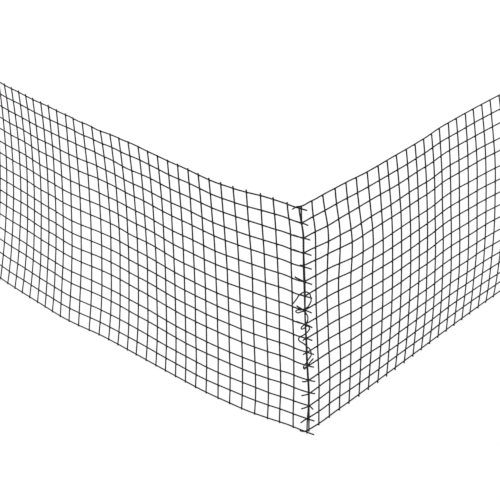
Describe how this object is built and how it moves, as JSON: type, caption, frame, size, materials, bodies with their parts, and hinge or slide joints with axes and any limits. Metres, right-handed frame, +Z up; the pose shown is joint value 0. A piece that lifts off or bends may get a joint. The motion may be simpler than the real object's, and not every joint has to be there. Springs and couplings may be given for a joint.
{
  "type": "solar panel bird mesh",
  "caption": "Strips of black coated welded wire mesh standing on edge, joined at an outside corner by bent wire ends and a tie wire, to keep birds out from under a solar panel.",
  "frame": {"origin": "middle of the footprint, on the surface the mesh stands on", "axes": "+X to the right as the outside of the corner is faced, +Y from the corner back between the strips, +Z up"},
  "size_m": [0.4944, 0.3019, 0.2068],
  "materials": {
    "coated_mesh": "black plastic coating on steel wire, semi-gloss",
    "coated_tie": "black plastic coating on thin steel wire, semi-gloss"
  },
  "bodies": {
    "root": {"left_strip": "coated_mesh", "right_strip": "coated_mesh", "tie_wire": "coated_tie"}
  },
  "joints": []
}
